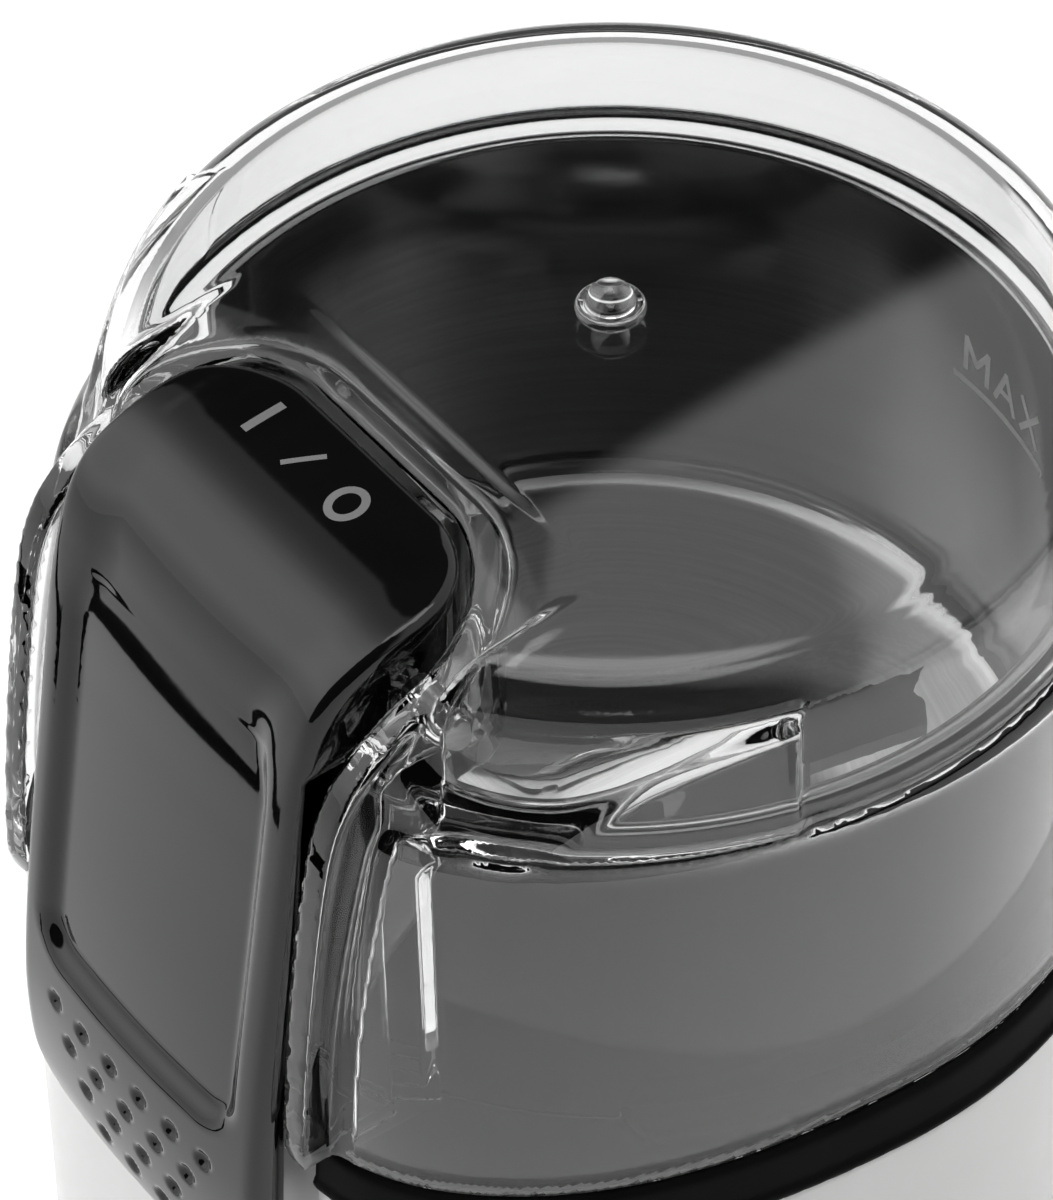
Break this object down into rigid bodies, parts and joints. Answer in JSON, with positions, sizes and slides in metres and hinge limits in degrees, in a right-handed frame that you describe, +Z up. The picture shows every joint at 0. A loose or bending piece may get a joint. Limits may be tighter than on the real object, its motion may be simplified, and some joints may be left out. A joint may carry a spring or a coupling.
{
  "type": "electric spice grinder",
  "caption": "Small electric grinder: oval light body, steel bowl with a spinning bent blade, clear lift-off lid with a hinged press lever.",
  "frame": {"origin": "on the blade's axis, level with the surface that the feet stand on", "axes": "+Z up along the blade's axis, -Y towards the side the press lever is on, +X to the right of someone who faces the lever"},
  "size_m": [0.094, 0.1006, 0.1744],
  "materials": {
    "white_plastic": "smooth, light",
    "grey_plastic": "moulded, satin",
    "rubber": "matte",
    "dark_plastic": "smooth, dark",
    "black_plastic": "high gloss",
    "clear_plastic": "clear, lightly smoked",
    "polished_steel": "fine circular brushing",
    "screw_steel": "plain",
    "core_steel": "laminated, dull",
    "copper": "enamelled wire and copper bars",
    "brass": "plain",
    "carbon": "pressed carbon"
  },
  "bodies": {
    "base": {"housing": "white_plastic", "base_plate": "grey_plastic", "feet": "rubber", "base_screws": "screw_steel", "cord_gland": "rubber", "collar_ring": "dark_plastic", "grinding_bowl": "polished_steel", "bowl_gasket": "rubber", "bowl_nut": "screw_steel", "upper_bracket": "grey_plastic", "motor_mounts": "rubber", "bracket_screws": "screw_steel", "upper_bearing": "brass", "lower_bearing": "brass", "shaft_seal": "rubber", "lower_bracket": "grey_plastic", "stator_screws": "screw_steel", "motor_stator": "core_steel", "field_coil_left": "copper", "field_coil_right": "copper", "brush_holder_left": "brass", "brush_holder_right": "brass", "carbon_brush_left": "carbon", "carbon_brush_right": "carbon", "brush_spring_left": "screw_steel", "brush_spring_right": "screw_steel", "microswitch_body": "black_plastic", "switch_screws": "screw_steel", "plunger_spring": "screw_steel"},
    "plunger": {"switch_plunger": "black_plastic"},
    "lid": {"lid": "clear_plastic", "lever_pin": "screw_steel", "return_spring": "screw_steel"},
    "lever": {"switch_lever": "black_plastic"},
    "rotor": {"rotor_shaft": "screw_steel", "armature_core": "core_steel", "armature_winding": "copper", "commutator": "copper", "cooling_fan": "grey_plastic", "blade": "polished_steel", "blade_washer": "screw_steel", "blade_nut": "screw_steel"}
  },
  "joints": [
    {"name": "lid_lift", "type": "slide", "parent": "base", "child": "lid", "axis": [0, 0, 1], "range_m": [0, 0.07]},
    {"name": "lever_press", "type": "hinge", "parent": "lid", "child": "lever", "pos_m": [0, -0.0315, 0.1613], "axis": [1, 0, 0], "range_deg": [0, 2.5], "stiffness_Nm_per_rad": 1, "springref_deg": -4.58, "deforming": ["return_spring"]},
    {"name": "plunger_slide", "type": "slide", "parent": "base", "child": "plunger", "axis": [0, 1, 0], "range_m": [0, 0.0028], "deforming": ["plunger_spring"]},
    {"name": "rotor_spin", "type": "hinge", "parent": "base", "child": "rotor", "pos_m": [0, 0, 0.05], "axis": [0, 0, 1], "continuous": true}
  ],
  "couplings": [
    {"joint": "plunger_slide", "follows": "lever_press", "m_per_rad": 0.0605}
  ]
}
